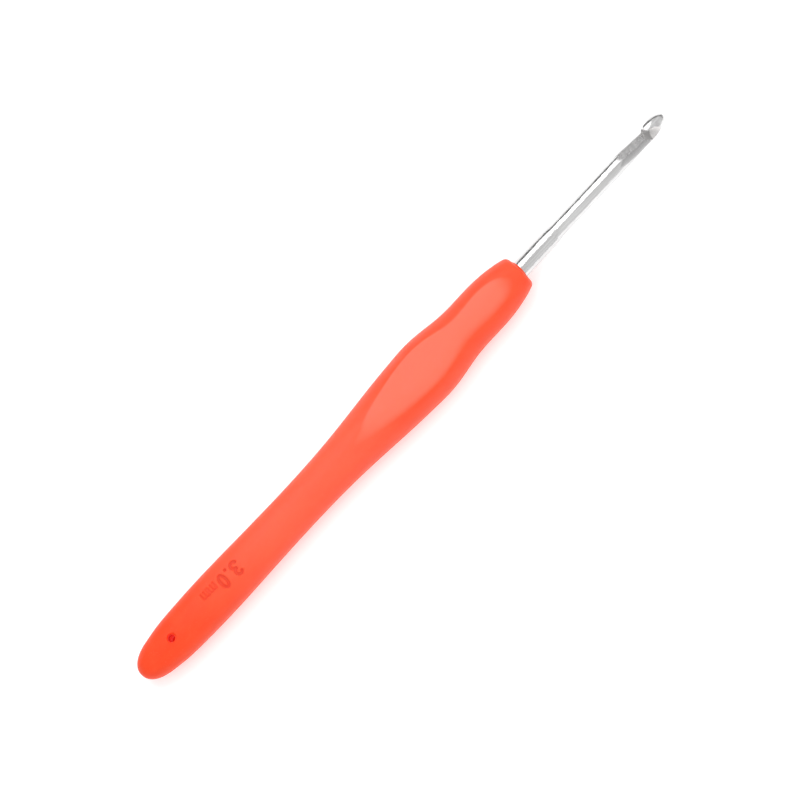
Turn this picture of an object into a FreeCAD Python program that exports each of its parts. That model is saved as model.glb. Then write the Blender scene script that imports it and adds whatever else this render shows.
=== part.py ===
"""Soft-grip crochet hook, 3.0 mm: aluminium shaft, rigid core and soft moulded grip.

Frame: millimetres, +X along the hook towards its tip, +Z out of the front thumb panel.
The hook lies on its back panel, on z = 0, with the origin under the middle of its length.
Inside each body x = 0 is the front face of the grip and the X axis is the shaft's axis.
"""
import FreeCAD, Part
import os

import Sketcher

doc = FreeCAD.newDocument("crochet_hook")

# ---------------------------------------------------------------- driving dimensions

sizes = doc.addObject("Spreadsheet::Sheet", "sizes")
next_row = 1


def add_size(alias, value):
    """Put one named number in the sheet."""
    global next_row
    sizes.set("A%d" % next_row, alias)
    sizes.set("B%d" % next_row, repr(value))
    sizes.setAlias("B%d" % next_row, alias)
    next_row += 1


def size(alias):
    """Read one named number back from the sheet."""
    return float(sizes.get(alias))


add_size("total_length", 140.0)
add_size("grip_length", 101.3)
add_size("axis_height", 4.75)

# grip: how far the thumb panels are from the axis, and its small features
add_size("panel_height", 4.75)
add_size("panel_slope_end", 23.7)
add_size("panel_nose_height", 3.9)
add_size("panel_cut_end", 60.0)
add_size("nose_rounding", 0.7)
add_size("nose_rim_height", 0.35)
add_size("nose_rim_radius", 2.2)
add_size("nose_rim_foot", 2.75)
add_size("butt_rounding", 2.3)
add_size("cord_hole_radius", 0.75)
add_size("cord_hole_from_butt", 8.9)

# shaft: stock in the grip, working shaft, ramp and head
add_size("stock_radius", 1.75)
add_size("stock_end", 7.8)
add_size("working_radius", 1.5)
add_size("shoulder_end", 10.4)
add_size("taper_start", 14.5)
add_size("ramp_start", 26.8)
add_size("ramp_radius", 1.56)
add_size("cut_run_in", 1.0)
add_size("ramp_lead", 0.2)
add_size("cheek_lead", 0.12)
add_size("throat_at", 34.2)
add_size("throat_height", 0.12)
add_size("cheek_height", 0.74)
add_size("cheek_turn", 50.0)
add_size("cheek_end_at", 33.5)
add_size("cheek_step", 0.6)
add_size("mouth_turn", 15.0)
add_size("head_half_length", 4.0)
add_size("head_half_height", 1.75)
add_size("head_half_width", 1.8)
add_size("head_offset", 0.55)
add_size("lip_at", 34.05)
add_size("lip_inner_height", 2.05)
add_size("mouth_roof_at", 34.75)
add_size("mouth_roof_height", 0.95)
add_size("mouth_roof_radius", 0.99)
add_size("scoop_inner_at", 34.15)
add_size("scoop_inner_height", 1.1)
add_size("scoop_inner_radius", 0.6)
add_size("scoop_outer_at", 35.5)
add_size("scoop_outer_height", 1.0)
add_size("scoop_outer_radius", 1.8)
add_size("neck_end_at", 35.2)
add_size("neck_half_height", 1.22)
add_size("neck_lift", 0.13)
add_size("lip_trim_height", 0.6)
add_size("lip_trim_at", 34.95)
add_size("lip_trim_half_width", 1.2)
add_size("lip_trim_radius", 1.25)
add_size("tang_length", 58.0)
add_size("tang_chamfer", 0.4)
add_size("tang_flat_length", 9.0)
add_size("tang_flat_height", 1.15)

# core: rigid plastic, collared so that the soft grip holds on to it
add_size("core_start", 3.2)
add_size("core_end", 85.0)
add_size("core_radius", 2.55)
add_size("collar_radius", 2.95)
add_size("collar_width", 2.0)
add_size("collar_pitch", 11.0)
add_size("tongue_half_width", 2.1)
add_size("tongue_thickness", 2.6)
add_size("tongue_overlap", 3.0)

# grip cross-sections: distance behind the front face, half width and half thickness
GRIP_SECTIONS = {
    "nose": (0.0, 3.25, 3.1),
    "shoulder": (2.2, 3.95, 3.8),
    "collar": (5.1, 4.58, 4.46),
    "neck": (11.0, 4.87, 4.8),
    "flare": (17.0, 5.08, 5.03),
    "swell": (20.7, 5.64, 5.6),
    "bulge": (24.8, 6.0, 5.95),
    "belly": (32.2, 5.65, 5.55),
    "hip": (41.3, 4.88, 4.78),
    "waist": (59.8, 4.13, 3.85),
    "palm": (83.0, 4.46, 3.95),
    "heel": (91.5, 4.2, 3.75),
    "tail": (96.9, 3.58, 3.25),
    "butt": (101.3, 2.75, 2.6),
}
for section_name, (behind, half_width, half_thickness) in GRIP_SECTIONS.items():
    add_size(section_name + "_behind", behind)
    add_size(section_name + "_half_width", half_width)
    add_size(section_name + "_half_thickness", half_thickness)

doc.recompute()

# places inside a body that several features share
HEAD_CENTRE = "<<sizes>>.total_length - <<sizes>>.grip_length - <<sizes>>.head_half_length"
CUT_START = "<<sizes>>.ramp_start - <<sizes>>.cut_run_in"
CORD_HOLE_X = "<<sizes>>.cord_hole_from_butt - <<sizes>>.grip_length"


# ---------------------------------------------------------------- helpers

def new_body(name):
    """Make a body whose x = 0 is the grip's front face, on the shaft's axis."""
    body = doc.addObject("PartDesign::Body", name)
    body.setExpression(".Placement.Base.x", "<<sizes>>.grip_length - <<sizes>>.total_length / 2")
    body.setExpression(".Placement.Base.z", "<<sizes>>.axis_height")
    return body


def origin_plane(body, role):
    """Find one of a body's own origin planes."""
    return [item for item in body.Origin.OriginFeatures if item.Role == role][0]


def new_sketch(body, name, plane_role, offset=None, turn=None):
    """Add a sketch on an origin plane, shifted along its normal and turned about X by expressions."""
    sketch = body.newObject("Sketcher::SketchObject", name)
    sketch.AttachmentSupport = (origin_plane(body, plane_role), [""])
    sketch.MapMode = "FlatFace"
    if turn is not None:
        sketch.AttachmentOffset = FreeCAD.Placement(
            FreeCAD.Vector(0, 0, 0), FreeCAD.Rotation(FreeCAD.Vector(1, 0, 0), 1))
        sketch.setExpression(".AttachmentOffset.Rotation.Angle", turn)
    if offset is not None:
        sketch.setExpression(".AttachmentOffset.Base.z", offset)
    return sketch


def evaluate(expression):
    """Work out a sheet expression as a number, to draw a sketch near its final shape."""
    return float(sizes.evalExpression(expression.replace("<<sizes>>.", "")))


def cell(alias):
    """Name a sheet cell inside an expression."""
    return "<<sizes>>." + alias


def minus(alias):
    """Name a sheet cell with its sign turned."""
    return "-<<sizes>>." + alias


def place_point(sketch, geometry, end, corner):
    """Hold one point of a sketch at two distances, given as expressions, from the sketch's origin."""
    for kind, expression in zip(("DistanceX", "DistanceY"), corner):
        value = evaluate(expression)
        index = sketch.addConstraint(Sketcher.Constraint(kind, -1, 1, geometry, end, value))
        name = "%s_%d_%d" % (kind, geometry, end)
        sketch.renameConstraint(index, name)
        sketch.setExpression("Constraints." + name, expression)


def set_length(sketch, name, expression, *where):
    """Add a named distance constraint bound to an expression."""
    index = sketch.addConstraint(Sketcher.Constraint("Distance", *where, evaluate(expression)))
    sketch.renameConstraint(index, name)
    sketch.setExpression("Constraints." + name, expression)


def bind_radius(sketch, geometry, radius):
    """Hold a circle's or an arc's radius at an expression."""
    index = sketch.addConstraint(Sketcher.Constraint("Radius", geometry, evaluate(radius)))
    name = "radius_%d" % geometry
    sketch.renameConstraint(index, name)
    sketch.setExpression("Constraints." + name, radius)


def draw_outline(sketch, corners):
    """Draw a closed outline of straight lines through corners, each a pair of expressions."""
    first = sketch.GeometryCount
    count = len(corners)
    points = [FreeCAD.Vector(evaluate(across), evaluate(up), 0) for across, up in corners]
    for number in range(count):
        sketch.addGeometry(Part.LineSegment(points[number], points[(number + 1) % count]), False)
    for number in range(count):
        following = first + (number + 1) % count
        sketch.addConstraint(Sketcher.Constraint("Coincident", first + number, 2, following, 1))
    for number in range(count):
        place_point(sketch, first + number, 1, corners[number])


def draw_ellipse(sketch, half_width, half_height, centre_height="0"):
    """Draw an ellipse, wider than it is high, centred on the sketch's upright axis."""
    across = evaluate(half_width)
    up = evaluate(half_height)
    lift = evaluate(centre_height)
    centre = FreeCAD.Vector(0, lift, 0)
    side = FreeCAD.Vector(across, lift, 0)
    top = FreeCAD.Vector(0, lift + up, 0)
    sketch.addGeometry(Part.Ellipse(side, top, centre), False)
    sketch.exposeInternalGeometry(0)
    long_axis, short_axis = 1, 2
    sketch.addConstraint(Sketcher.Constraint("Horizontal", long_axis))
    set_length(sketch, "full_width", "2 * (%s)" % half_width, long_axis)
    set_length(sketch, "full_height", "2 * (%s)" % half_height, short_axis)
    place_point(sketch, 0, 3, ("0", centre_height))


def draw_circle(sketch, centre, radius):
    """Draw a circle at a pair of expressions, with its radius bound too."""
    middle = FreeCAD.Vector(evaluate(centre[0]), evaluate(centre[1]), 0)
    geometry = sketch.addGeometry(Part.Circle(middle, FreeCAD.Vector(0, 0, 1), evaluate(radius)), False)
    bind_radius(sketch, geometry, radius)
    place_point(sketch, geometry, 3, centre)


def revolve(body, name, sketch):
    """Turn an outline once round the body's X axis."""
    feature = body.newObject("PartDesign::Revolution", name)
    feature.Profile = sketch
    feature.ReferenceAxis = (sketch, ["H_Axis"])
    feature.Angle = 360
    return feature


def cut_through(body, name, sketch):
    """Cut an outline out of the body on both sides of the sketch, all the way."""
    feature = body.newObject("PartDesign::Pocket", name)
    feature.Profile = sketch
    feature.Type = 1
    feature.Midplane = True
    return feature


def loft(body, kind, name, sections, ruled=False):
    """Join section sketches with a smooth skin, added to the body or cut from it."""
    feature = body.newObject("PartDesign::" + kind, name)
    feature.Profile = sections[0]
    feature.Sections = sections[1:]
    feature.Ruled = ruled
    return feature


def edges_at(feature, place, tolerance=0.01):
    """Names of a feature's edges that lie in the plane x = place."""
    found = []
    for number, edge in enumerate(feature.Shape.Edges, start=1):
        box = edge.BoundBox
        if abs(box.XMin - place) < tolerance and abs(box.XMax - place) < tolerance:
            found.append("Edge%d" % number)
    return found


def round_edges(body, name, base, edge_names, radius):
    """Round named edges of the last feature."""
    feature = body.newObject("PartDesign::Fillet", name)
    feature.Base = (base, edge_names)
    feature.setExpression("Radius", radius)
    return feature


# ---------------------------------------------------------------- hook_shaft

def build_shaft():
    """One piece of aluminium, with its mouth towards its own +Z.

    The tang and the working shaft are turned; the neck blends into an egg-shaped head. A slanting
    flat ramp with a slanting cheek on each side leads into the mouth, which is scooped out wider
    towards both sides.
    """
    body = new_body("hook_shaft")
    body.Placement.Rotation = FreeCAD.Rotation(FreeCAD.Vector(1, 0, 0), 1)
    body.setExpression(".Placement.Rotation.Angle", minus("mouth_turn"))

    outline = new_sketch(body, "turned_outline", "XZ_Plane")
    draw_outline(outline, [
        (minus("tang_length"), "0"),
        (minus("tang_length"), "<<sizes>>.stock_radius - <<sizes>>.tang_chamfer"),
        ("-<<sizes>>.tang_length + <<sizes>>.tang_chamfer", cell("stock_radius")),
        (cell("stock_end"), cell("stock_radius")),
        (cell("shoulder_end"), cell("working_radius")),
        (cell("taper_start"), cell("working_radius")),
        (cell("ramp_start"), cell("ramp_radius")),
        (cell("ramp_start"), "0"),
    ])
    revolve(body, "turned_shaft", outline)

    neck_start = new_sketch(body, "neck_start", "YZ_Plane", offset=cell("ramp_start"))
    draw_circle(neck_start, ("0", "0"), cell("ramp_radius"))
    neck_end = new_sketch(body, "neck_end", "YZ_Plane", offset=cell("neck_end_at"))
    draw_ellipse(neck_end, cell("working_radius"), cell("neck_half_height"), cell("neck_lift"))
    loft(body, "AdditiveLoft", "neck", [neck_start, neck_end])

    head = body.newObject("PartDesign::AdditiveEllipsoid", "head")
    head.AttachmentSupport = (origin_plane(body, "XY_Plane"), [""])
    head.MapMode = "FlatFace"
    head.setExpression("Radius1", cell("head_half_height"))
    head.setExpression("Radius2", cell("head_half_length"))
    head.setExpression("Radius3", cell("head_half_width"))
    head.setExpression(".AttachmentOffset.Base.x", HEAD_CENTRE)
    head.setExpression(".AttachmentOffset.Base.z", cell("head_offset"))

    ramp = new_sketch(body, "ramp_outline", "XZ_Plane")
    draw_ramp_and_mouth(ramp)
    cut_through(body, "ramp_and_mouth", ramp)

    for side, turn in (("far", minus("cheek_turn")), ("near", cell("cheek_turn"))):
        cheek = new_sketch(body, side + "_cheek_outline", "XZ_Plane", turn=turn)
        draw_outline(cheek, [
            (CUT_START, "<<sizes>>.ramp_radius + <<sizes>>.cheek_lead"),
            (cell("cheek_end_at"), cell("cheek_height")),
            (cell("lip_at"), "<<sizes>>.cheek_height + <<sizes>>.cheek_step"),
            (cell("lip_at"), "<<sizes>>.head_half_height * 2"),
            (CUT_START, "<<sizes>>.head_half_height * 2"),
        ])
        cut_through(body, side + "_cheek", cheek)

    lip = new_sketch(body, "lip_outline", "XY_Plane", offset=cell("lip_trim_height"))
    draw_lip(lip)
    trim = body.newObject("PartDesign::Pocket", "round_lip")
    trim.Profile = lip
    trim.Reversed = True
    trim.setExpression("Length", "2 * <<sizes>>.head_half_height")

    for side, sign in (("near", "-"), ("far", "")):
        inner = new_sketch(body, side + "_scoop_inner", "XZ_Plane", offset="0")
        draw_circle(inner, (cell("scoop_inner_at"), cell("scoop_inner_height")), cell("scoop_inner_radius"))
        outer = new_sketch(body, side + "_scoop_outer", "XZ_Plane",
                           offset="%s(<<sizes>>.head_half_width + 0.3)" % sign)
        draw_circle(outer, (cell("scoop_outer_at"), cell("scoop_outer_height")), cell("scoop_outer_radius"))
        loft(body, "SubtractiveLoft", side + "_scoop", [inner, outer])

    flats = new_sketch(body, "tang_flats_outline", "XZ_Plane")
    for sign in ("", "-"):
        draw_outline(flats, [
            (minus("tang_length"), sign + cell("tang_flat_height")),
            ("-<<sizes>>.tang_length + <<sizes>>.tang_flat_length", sign + cell("tang_flat_height")),
            ("-<<sizes>>.tang_length + <<sizes>>.tang_flat_length + 1", sign + "(<<sizes>>.stock_radius + 0.2)"),
            (minus("tang_length"), sign + "(<<sizes>>.stock_radius + 0.2)"),
        ])
    cut_through(body, "tang_flats", flats)
    return body


def draw_ramp_and_mouth(sketch):
    """Side outline of the ramp, the round roof of the mouth and the space in front of the lip."""
    ramp_foot = (CUT_START, "<<sizes>>.ramp_radius + <<sizes>>.ramp_lead")
    throat = (cell("throat_at"), cell("throat_height"))
    lip = (cell("lip_at"), cell("lip_inner_height"))
    above_lip = (cell("lip_at"), "<<sizes>>.head_half_height * 2")
    above_foot = (CUT_START, "<<sizes>>.head_half_height * 2")
    roof = (cell("mouth_roof_at"), cell("mouth_roof_height"))

    def vector(corner):
        return FreeCAD.Vector(evaluate(corner[0]), evaluate(corner[1]), 0)

    sketch.addGeometry(Part.LineSegment(vector(ramp_foot), vector(throat)), False)
    sketch.addGeometry(Part.Arc(vector(throat), vector(roof), vector(lip)), False)
    sketch.addGeometry(Part.LineSegment(vector(lip), vector(above_lip)), False)
    sketch.addGeometry(Part.LineSegment(vector(above_lip), vector(above_foot)), False)
    sketch.addGeometry(Part.LineSegment(vector(above_foot), vector(ramp_foot)), False)
    throat_end = 1 if sketch.getPoint(1, 1).distanceToPoint(vector(throat)) < 1e-6 else 2
    lip_end = 3 - throat_end
    sketch.addConstraint(Sketcher.Constraint("Coincident", 0, 2, 1, throat_end))
    sketch.addConstraint(Sketcher.Constraint("Coincident", 1, lip_end, 2, 1))
    sketch.addConstraint(Sketcher.Constraint("Coincident", 2, 2, 3, 1))
    sketch.addConstraint(Sketcher.Constraint("Coincident", 3, 2, 4, 1))
    sketch.addConstraint(Sketcher.Constraint("Coincident", 4, 2, 0, 1))
    place_point(sketch, 0, 1, ramp_foot)
    place_point(sketch, 0, 2, throat)
    place_point(sketch, 2, 1, lip)
    place_point(sketch, 2, 2, above_lip)
    place_point(sketch, 3, 2, above_foot)
    bind_radius(sketch, 1, cell("mouth_roof_radius"))


def draw_lip(sketch):
    """Space beside and below the lip, seen from the front: it leaves the lip with a round end."""
    foot = "<<sizes>>.throat_at - <<sizes>>.cut_run_in"
    top = cell("lip_trim_at")
    left_edge = (top, minus("lip_trim_half_width"))
    right_edge = (top, cell("lip_trim_half_width"))
    far = "3 * <<sizes>>.lip_trim_half_width"
    corners = [right_edge, (top, far), (foot, far), (foot, "-" + far), (top, "-" + far), left_edge]

    def vector(corner):
        return FreeCAD.Vector(evaluate(corner[0]), evaluate(corner[1]), 0)

    for start, stop in zip(corners, corners[1:]):
        sketch.addGeometry(Part.LineSegment(vector(start), vector(stop)), False)
    lip_end = FreeCAD.Vector(size("lip_at"), 0, 0)
    sketch.addGeometry(Part.Arc(vector(left_edge), lip_end, vector(right_edge)), False)
    left_end = 1 if sketch.getPoint(5, 1).y < 0 else 2
    for line in range(4):
        sketch.addConstraint(Sketcher.Constraint("Coincident", line, 2, line + 1, 1))
    sketch.addConstraint(Sketcher.Constraint("Coincident", 4, 2, 5, left_end))
    sketch.addConstraint(Sketcher.Constraint("Coincident", 5, 3 - left_end, 0, 1))
    for line, corner in enumerate(corners[:5]):
        place_point(sketch, line, 1, corner)
    place_point(sketch, 4, 2, left_edge)
    bind_radius(sketch, 5, cell("lip_trim_radius"))


# ---------------------------------------------------------------- handle_core

def build_core_blank():
    """Turned core with raised collars and a flat tongue, before the shaft's bore is taken out."""
    body = new_body("core_blank")
    corners = [(minus("core_start"), "0"), (minus("core_start"), cell("core_radius"))]
    collar_count = 6
    for number in range(1, collar_count + 1):
        front = "-(<<sizes>>.core_start + %d * <<sizes>>.collar_pitch)" % number
        back = front + " - <<sizes>>.collar_width"
        corners.append((front, cell("core_radius")))
        corners.append((front, cell("collar_radius")))
        corners.append((back, cell("collar_radius")))
        corners.append((back, cell("core_radius")))
    corners.append((minus("core_end"), cell("core_radius")))
    corners.append((minus("core_end"), "0"))
    outline = new_sketch(body, "core_outline", "XZ_Plane")
    draw_outline(outline, corners)
    revolve(body, "turned_core", outline)

    tongue = new_sketch(body, "tongue_outline", "XY_Plane")
    draw_tongue(tongue)
    pad = body.newObject("PartDesign::Pad", "tongue")
    pad.Profile = tongue
    pad.Midplane = True
    pad.setExpression("Length", cell("tongue_thickness"))
    return body


def draw_tongue(sketch):
    """Tongue seen from the front: straight sides and a round end about the cord hole."""
    start = "-(<<sizes>>.core_end - <<sizes>>.tongue_overlap)"
    start_x = evaluate(start)
    hole_x = evaluate(CORD_HOLE_X)
    half_width = size("tongue_half_width")
    points = [FreeCAD.Vector(start_x, -half_width, 0), FreeCAD.Vector(start_x, half_width, 0),
              FreeCAD.Vector(hole_x, half_width, 0), FreeCAD.Vector(hole_x, -half_width, 0)]
    sketch.addGeometry(Part.LineSegment(points[0], points[1]), False)
    sketch.addGeometry(Part.LineSegment(points[1], points[2]), False)
    round_end = Part.Arc(points[2], FreeCAD.Vector(hole_x - half_width, 0, 0), points[3])
    sketch.addGeometry(round_end, False)
    sketch.addGeometry(Part.LineSegment(points[3], points[0]), False)
    upper_end = 1 if sketch.getPoint(2, 1).y > 0 else 2
    sketch.addConstraint(Sketcher.Constraint("Coincident", 0, 2, 1, 1))
    sketch.addConstraint(Sketcher.Constraint("Tangent", 1, 2, 2, upper_end))
    sketch.addConstraint(Sketcher.Constraint("Tangent", 2, 3 - upper_end, 3, 1))
    sketch.addConstraint(Sketcher.Constraint("Coincident", 3, 2, 0, 1))
    sketch.addConstraint(Sketcher.Constraint("Horizontal", 1))
    place_point(sketch, 0, 1, (start, minus("tongue_half_width")))
    place_point(sketch, 0, 2, (start, cell("tongue_half_width")))
    place_point(sketch, 2, 3, (CORD_HOLE_X, "0"))


# ---------------------------------------------------------------- soft_grip

def build_grip_blank():
    """Outer shape of the grip: a smooth skin over its sections, with a flat panel front and back.

    A low rim stands on the nose, round the place where the metal comes out.
    """
    body = new_body("grip_blank")
    sections = []
    for section_name in GRIP_SECTIONS:
        sketch = new_sketch(body, section_name + "_section", "YZ_Plane", offset=minus(section_name + "_behind"))
        draw_ellipse(sketch, cell(section_name + "_half_width"), cell(section_name + "_half_thickness"))
        sections.append(sketch)
    skin = loft(body, "AdditiveLoft", "skin", sections)
    doc.recompute()
    nose = round_edges(body, "round_nose", skin, edges_at(skin, 0.0), cell("nose_rounding"))
    doc.recompute()
    butt = edges_at(nose, -size("grip_length"))
    round_edges(body, "round_butt", nose, butt, cell("butt_rounding"))

    rim = new_sketch(body, "nose_rim_outline", "XZ_Plane")
    draw_outline(rim, [
        ("-<<sizes>>.nose_rounding", "0"),
        ("-<<sizes>>.nose_rounding", cell("nose_rim_foot")),
        ("0", cell("nose_rim_foot")),
        (cell("nose_rim_height"), cell("nose_rim_radius")),
        (cell("nose_rim_height"), "0"),
    ])
    revolve(body, "nose_rim", rim)

    panels = new_sketch(body, "panel_outlines", "XZ_Plane")
    for sign in ("", "-"):
        draw_outline(panels, [
            ("1", sign + cell("panel_nose_height")),
            (minus("panel_slope_end"), sign + cell("panel_height")),
            (minus("panel_cut_end"), sign + cell("panel_height")),
            (minus("panel_cut_end"), sign + "(<<sizes>>.panel_height + 4)"),
            ("1", sign + "(<<sizes>>.panel_height + 4)"),
        ])
    cut_through(body, "thumb_panels", panels)
    return body


def build_cord_hole():
    """Tool for the small round hole through grip and core near the butt."""
    tool = doc.addObject("Part::Cylinder", "cord_hole")
    tool.setExpression("Radius", cell("cord_hole_radius"))
    tool.setExpression("Height", "4 * <<sizes>>.axis_height")
    tool.setExpression(".Placement.Base.x", "<<sizes>>.cord_hole_from_butt - <<sizes>>.total_length / 2")
    tool.setExpression(".Placement.Base.z", "-<<sizes>>.axis_height")
    return tool


def cut(name, base, *tools):
    """Take tools out of a base, as one named boolean."""
    if len(tools) > 1:
        together = doc.addObject("Part::MultiFuse", name + "_tools")
        together.Shapes = list(tools)
        tool = together
    else:
        tool = tools[0]
    result = doc.addObject("Part::Cut", name)
    result.Base = base
    result.Tool = tool
    return result


# ---------------------------------------------------------------- model

LEAST_CHANGE = 0.1  # cubic millimetres: a feature that does less has failed

hook_shaft = build_shaft()
cord_hole = build_cord_hole()
handle_core = cut("handle_core", build_core_blank(), hook_shaft, cord_hole)
soft_grip = cut("soft_grip", build_grip_blank(), hook_shaft, handle_core, cord_hole)

subparts = [hook_shaft, handle_core, soft_grip]
for part in subparts:
    part.Label = part.Name
doc.recompute()

for item in doc.Objects:
    if "Invalid" in item.State or "Error" in item.State:
        raise RuntimeError("%s failed: %s" % (item.Label, item.State))
for body in doc.findObjects("PartDesign::Body"):
    solid_features = [item for item in body.Group if item.isDerivedFrom("PartDesign::Feature")]
    for before, after in zip(solid_features, solid_features[1:]):
        change = abs(after.Shape.Volume - before.Shape.Volume)
        if change < LEAST_CHANGE:
            raise RuntimeError(after.Label + " changes nothing")
for part in subparts:
    if part.Shape.isNull() or not part.Shape.isValid() or len(part.Shape.Solids) != 1:
        raise RuntimeError(part.Label + " is not one valid solid")

os.makedirs("parts", exist_ok=True)
for part in subparts:
    part.Shape.exportStep("parts/%s.step" % part.Label)
    box = part.Shape.BoundBox
    print("%-12s volume %8.1f  x %.2f..%.2f  y %.2f..%.2f  z %.2f..%.2f" % (
        part.Label, part.Shape.Volume, box.XMin, box.XMax, box.YMin, box.YMax, box.ZMin, box.ZMax))
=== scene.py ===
"""Soft-grip crochet hook: visual model in the CAD frame.

Lengths are in millimetres until mesh_object() turns them into metres. Two local systems are used:
  grip:  s = distance behind the grip's front face, y across, z up, both from the shaft's axis;
  shaft: d = distance in front of that face, and across/mouth = sideways and towards the mouth.
"""
import math

import bmesh
import bpy
import numpy as np
from mathutils import Matrix, Vector


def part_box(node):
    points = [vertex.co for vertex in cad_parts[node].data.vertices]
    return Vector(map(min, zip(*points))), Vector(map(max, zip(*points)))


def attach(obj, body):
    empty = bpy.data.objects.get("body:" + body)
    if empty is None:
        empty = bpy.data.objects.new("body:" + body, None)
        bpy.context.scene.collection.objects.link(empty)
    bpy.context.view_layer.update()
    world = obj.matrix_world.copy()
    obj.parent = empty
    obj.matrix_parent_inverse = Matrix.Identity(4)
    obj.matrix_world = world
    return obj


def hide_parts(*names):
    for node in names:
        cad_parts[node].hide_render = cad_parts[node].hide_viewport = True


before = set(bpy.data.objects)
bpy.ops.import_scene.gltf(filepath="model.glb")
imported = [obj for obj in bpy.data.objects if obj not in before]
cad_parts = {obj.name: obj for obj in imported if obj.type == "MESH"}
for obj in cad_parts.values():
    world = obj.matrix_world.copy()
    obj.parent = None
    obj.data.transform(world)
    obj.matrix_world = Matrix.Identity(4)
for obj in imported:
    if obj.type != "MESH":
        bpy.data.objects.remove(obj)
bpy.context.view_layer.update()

# ------------------------------------------------------------------ places taken from the frame

MM = 0.001
grip_low, grip_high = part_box("soft_grip")
shaft_low, shaft_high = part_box("hook_shaft")
RIM_HEIGHT = 0.35
FRONT_X = grip_high[0] / MM - RIM_HEIGHT
BUTT_X = grip_low[0] / MM
TIP_X = shaft_high[0] / MM
AXIS_Z = 0.5 * (grip_low[2] + grip_high[2]) / MM
GRIP_LENGTH = FRONT_X - BUTT_X
EXPOSED_LENGTH = TIP_X - FRONT_X
TANG_LENGTH = FRONT_X - shaft_low[0] / MM
PANEL_HEIGHT = 0.5 * (grip_high[2] - grip_low[2]) / MM
WIDEST = min(grip_high[1], -grip_low[1]) / MM


# ------------------------------------------------------------------ small mathematics

def smooth_step(low, high, value):
    """0 below low, 1 above high, eased between them."""
    t = np.clip((value - low) / (high - low), 0.0, 1.0)
    return t * t * (3 - 2 * t)


def soft_min(a, b, width):
    """Lower of two fields, with the crease between them rounded over width."""
    overlap = np.maximum(width - np.abs(a - b), 0.0) / width
    return np.minimum(a, b) - overlap * overlap * width * 0.25


def soft_max(a, b, width):
    """Higher of two fields, rounded in the same way."""
    return -soft_min(-a, -b, width)


def smooth_curve(*pairs):
    """Natural cubic spline through a few chosen (place, value) pairs, as a function."""
    x, y = np.asarray(pairs, float).T
    gap = np.diff(x)
    slope = np.diff(y) / gap
    count = len(x)
    system = np.eye(count)
    right = np.zeros(count)
    for i in range(1, count - 1):
        system[i, i - 1:i + 2] = gap[i - 1], 2 * (gap[i - 1] + gap[i]), gap[i]
        right[i] = 6 * (slope[i] - slope[i - 1])
    bend = np.linalg.solve(system, right)

    def at(where):
        where = np.clip(np.asarray(where, float), x[0], x[-1])
        i = np.clip(np.searchsorted(x, where) - 1, 0, count - 2)
        left = (x[i + 1] - where) / gap[i]
        rest = 1 - left
        curve = ((left ** 3 - left) * bend[i] + (rest ** 3 - rest) * bend[i + 1]) * gap[i] ** 2 / 6
        return left * y[i] + rest * y[i + 1] + curve

    return at


def waves(places, seed, lengths):
    """Repeatable gentle unevenness along one direction, between -1 and 1."""
    random = np.random.default_rng(seed)
    total = np.zeros_like(np.asarray(places, float))
    for length in lengths:
        phase = random.uniform(0, 2 * math.pi)
        total += np.sin(2 * math.pi * np.asarray(places) / length + phase)
    return total / len(lengths)


def mesh_object(name, points, faces, smooth=True):
    """New object from points in millimetres, in the row frame."""
    mesh = bpy.data.meshes.new(name)
    mesh.from_pydata((np.asarray(points) * MM).tolist(), [], faces)
    mesh.validate()
    mesh.polygons.foreach_set("use_smooth", [smooth] * len(mesh.polygons))
    mesh.update()
    piece = bpy.data.objects.new(name, mesh)
    bpy.context.scene.collection.objects.link(piece)
    return piece


def point_attribute(piece, name, values):
    """Store one number per point, for the materials to read."""
    attribute = piece.data.attributes.new(name, "FLOAT", "POINT")
    attribute.data.foreach_set("value", np.asarray(values, np.float32))


# ------------------------------------------------------------------ surface of a field

def field_surface(field, axes):
    """Quads where field(x, y, z) crosses zero on a grid; the field is negative inside.

    Each grid cell that the surface passes through gets one point, and each grid edge that it
    crosses gets one quad between the four cells around it.
    """
    gx, gy, gz = np.meshgrid(*axes, indexing="ij")
    grid = np.stack([gx, gy, gz], -1)
    value = field(gx, gy, gz)
    inside = value < 0
    cells = tuple(length - 1 for length in value.shape)
    total = np.zeros(cells + (3,))
    hits = np.zeros(cells)
    quads = []
    for axis in range(3):
        low = [slice(None)] * 3
        high = [slice(None)] * 3
        low[axis] = slice(0, -1)
        high[axis] = slice(1, None)
        low, high = tuple(low), tuple(high)
        crossed = inside[low] != inside[high]
        where = np.argwhere(crossed)
        first = value[low][crossed]
        second = value[high][crossed]
        share = (first / (first - second))[:, None]
        crossing = grid[low][crossed] * (1 - share) + grid[high][crossed] * share
        one, two = [a for a in range(3) if a != axis]
        around = []
        for step_one, step_two in ((-1, -1), (0, -1), (0, 0), (-1, 0)):
            cell = where.copy()
            cell[:, one] += step_one
            cell[:, two] += step_two
            around.append(cell)
        valid = np.all([(cell >= 0).all(1) & (cell < cells).all(1) for cell in around], 0)
        for cell in around:
            index = tuple(cell[valid].T)
            np.add.at(total, index, crossing[valid])
            np.add.at(hits, index, 1)
        corner = np.stack([np.ravel_multi_index(tuple(cell[valid].T), cells) for cell in around], 1)
        outward = inside[low][crossed][valid]
        if axis == 1:
            outward = ~outward
        corner[~outward] = corner[~outward][:, ::-1]
        quads.append(corner)
    used = np.flatnonzero(hits)
    points = total.reshape(-1, 3)[used] / hits.reshape(-1)[used][:, None]
    number = np.full(hits.size, -1)
    number[used] = np.arange(len(used))
    return points, number[np.concatenate(quads)]


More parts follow.
